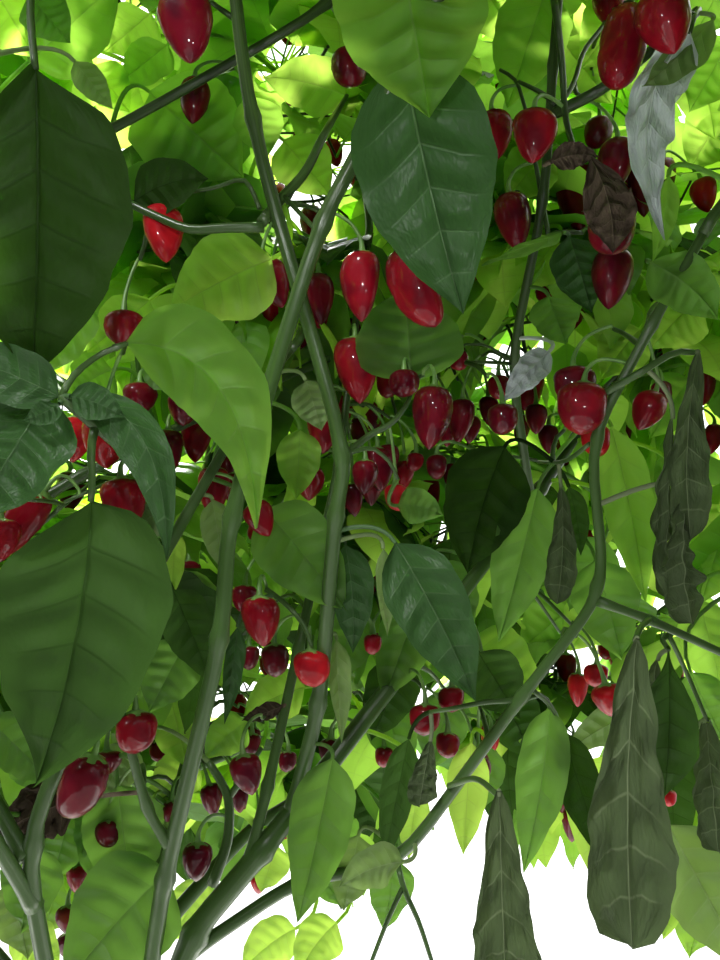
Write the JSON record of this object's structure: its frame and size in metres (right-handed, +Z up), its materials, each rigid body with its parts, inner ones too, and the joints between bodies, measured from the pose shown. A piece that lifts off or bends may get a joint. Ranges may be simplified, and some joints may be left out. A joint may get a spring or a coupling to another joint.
{
  "type": "chilli pepper plant",
  "caption": "Tall rooted chilli pepper plant: short trunk, kinked forking stems and a round crown of drooping leaves hung with small red drop-shaped fruit.",
  "frame": {"origin": "centre of the trunk's flat cut at soil level", "axes": "+Z up along the trunk; -Y towards the crown's open front side; +X to the right seen from the front"},
  "size_m": [1.1757, 1.165, 1.4267],
  "materials": {
    "bark": "matte, brownish green, corky at the foot",
    "stem": "satin green, ridged along its length",
    "foliage": "satin leaf green",
    "fruit": "glossy red skin"
  },
  "bodies": {
    "root": {"trunk": "bark", "limb_back": "stem", "limb_back_left": "stem", "limb_back_right": "stem", "limb_centre": "stem", "limb_centre_back": "stem", "limb_front_left": "stem", "limb_inner_left": "stem", "limb_inner_right": "stem", "limb_leader": "stem", "limb_left": "stem", "limb_left_front": "stem", "limb_left_front_side": "stem", "limb_left_rear": "stem", "limb_low_back": "stem", "limb_low_back_left": "stem", "limb_low_back_right": "stem", "limb_low_front_left": "stem", "limb_low_left": "stem", "limb_right": "stem", "limb_right_main": "stem", "limb_right_side": "stem", "limb_side_left": "stem", "limb_top_right": "stem", "limb_upper_back": "stem", "limb_upper_front_left": "stem", "limb_upper_left": "stem", "limb_upper_right": "stem", "limb_upper_side_left": "stem", "foliage_back": "foliage", "foliage_back_left": "foliage", "foliage_back_right": "foliage", "foliage_centre": "foliage", "foliage_centre_low": "foliage", "foliage_centre_right": "foliage", "foliage_front": "foliage", "foliage_front_left": "foliage", "foliage_front_right": "foliage", "foliage_inner_left": "foliage", "foliage_inner_right": "foliage", "foliage_left": "foliage", "foliage_low_back": "foliage", "foliage_low_back_left": "foliage", "foliage_low_back_right": "foliage", "foliage_low_front": "foliage", "foliage_low_front_left": "foliage", "foliage_low_left": "foliage", "foliage_low_right": "foliage", "foliage_right": "foliage", "foliage_top": "foliage", "foliage_upper_back": "foliage", "foliage_upper_centre": "foliage", "foliage_upper_front": "foliage", "foliage_upper_front_left": "foliage", "foliage_upper_front_right": "foliage", "foliage_upper_left": "foliage", "foliage_upper_right": "foliage"}
  },
  "joints": []
}
